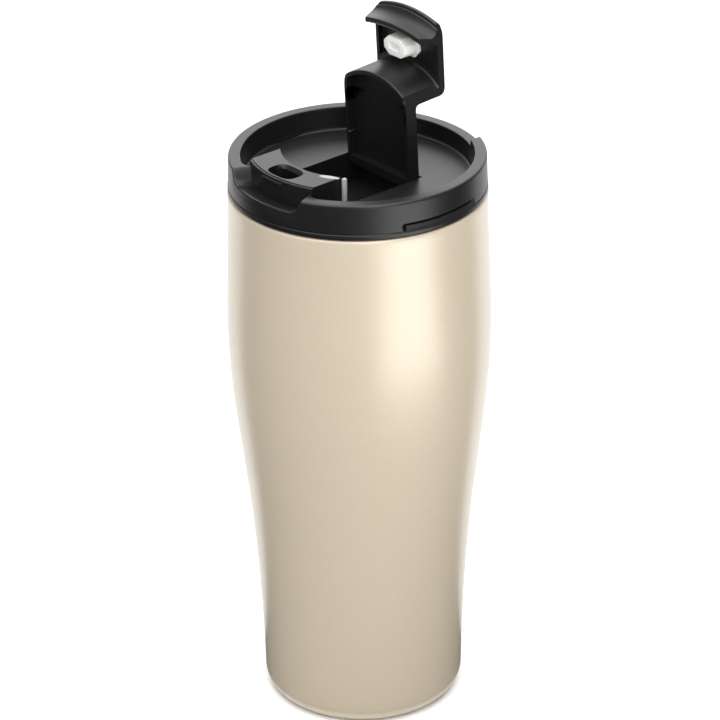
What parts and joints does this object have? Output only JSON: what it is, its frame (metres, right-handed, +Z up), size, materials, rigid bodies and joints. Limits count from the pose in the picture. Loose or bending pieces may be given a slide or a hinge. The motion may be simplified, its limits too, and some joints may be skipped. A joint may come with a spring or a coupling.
{
  "type": "insulated travel mug",
  "caption": "Waisted double-walled steel travel mug with a press-in plastic lid and a cranked flip-up flap whose plug closes the drink hole.",
  "frame": {"origin": "centre of the base, on the plane that the mug stands on", "axes": "+Z up along the mug's axis, the spout towards -Y, the flap's hinge along X behind the spout"},
  "size_m": [0.0874, 0.0874, 0.2431],
  "materials": {
    "champagne_paint": "satin metallic paint, faintly ribbed by light",
    "brushed_steel": "bare stainless steel",
    "black_plastic": "satin moulded polypropylene",
    "white_silicone": "matt white food-grade silicone",
    "black_rubber": "matt",
    "solder_glass": "fused glass solder",
    "sintered_metal": "matt sintered pellet"
  },
  "bodies": {
    "vessel": {"outer_shell": "champagne_paint", "inner_liner": "brushed_steel", "base_plate": "brushed_steel", "port_seal": "solder_glass", "getter_clip": "brushed_steel", "getter": "sintered_metal", "base_cap": "champagne_paint", "foot_pad": "black_rubber", "mouth_collar": "black_plastic", "collar_gasket": "white_silicone"},
    "lid": {"lid_shell": "black_plastic", "lid_insert": "black_plastic", "lid_seal": "white_silicone", "drink_gasket": "white_silicone", "vent_tab": "white_silicone"},
    "flap": {"flap": "black_plastic", "flap_plug": "white_silicone", "hinge_pin": "brushed_steel"}
  },
  "joints": [
    {"name": "lid_pull", "type": "slide", "parent": "vessel", "child": "lid", "axis": [0, 0, 1], "range_m": [0, 0.03]},
    {"name": "flap_hinge", "type": "hinge", "parent": "lid", "child": "flap", "pos_m": [0, 0.0111, 0.1883], "axis": [1, 0, 0], "range_deg": [-15, 87]}
  ]
}
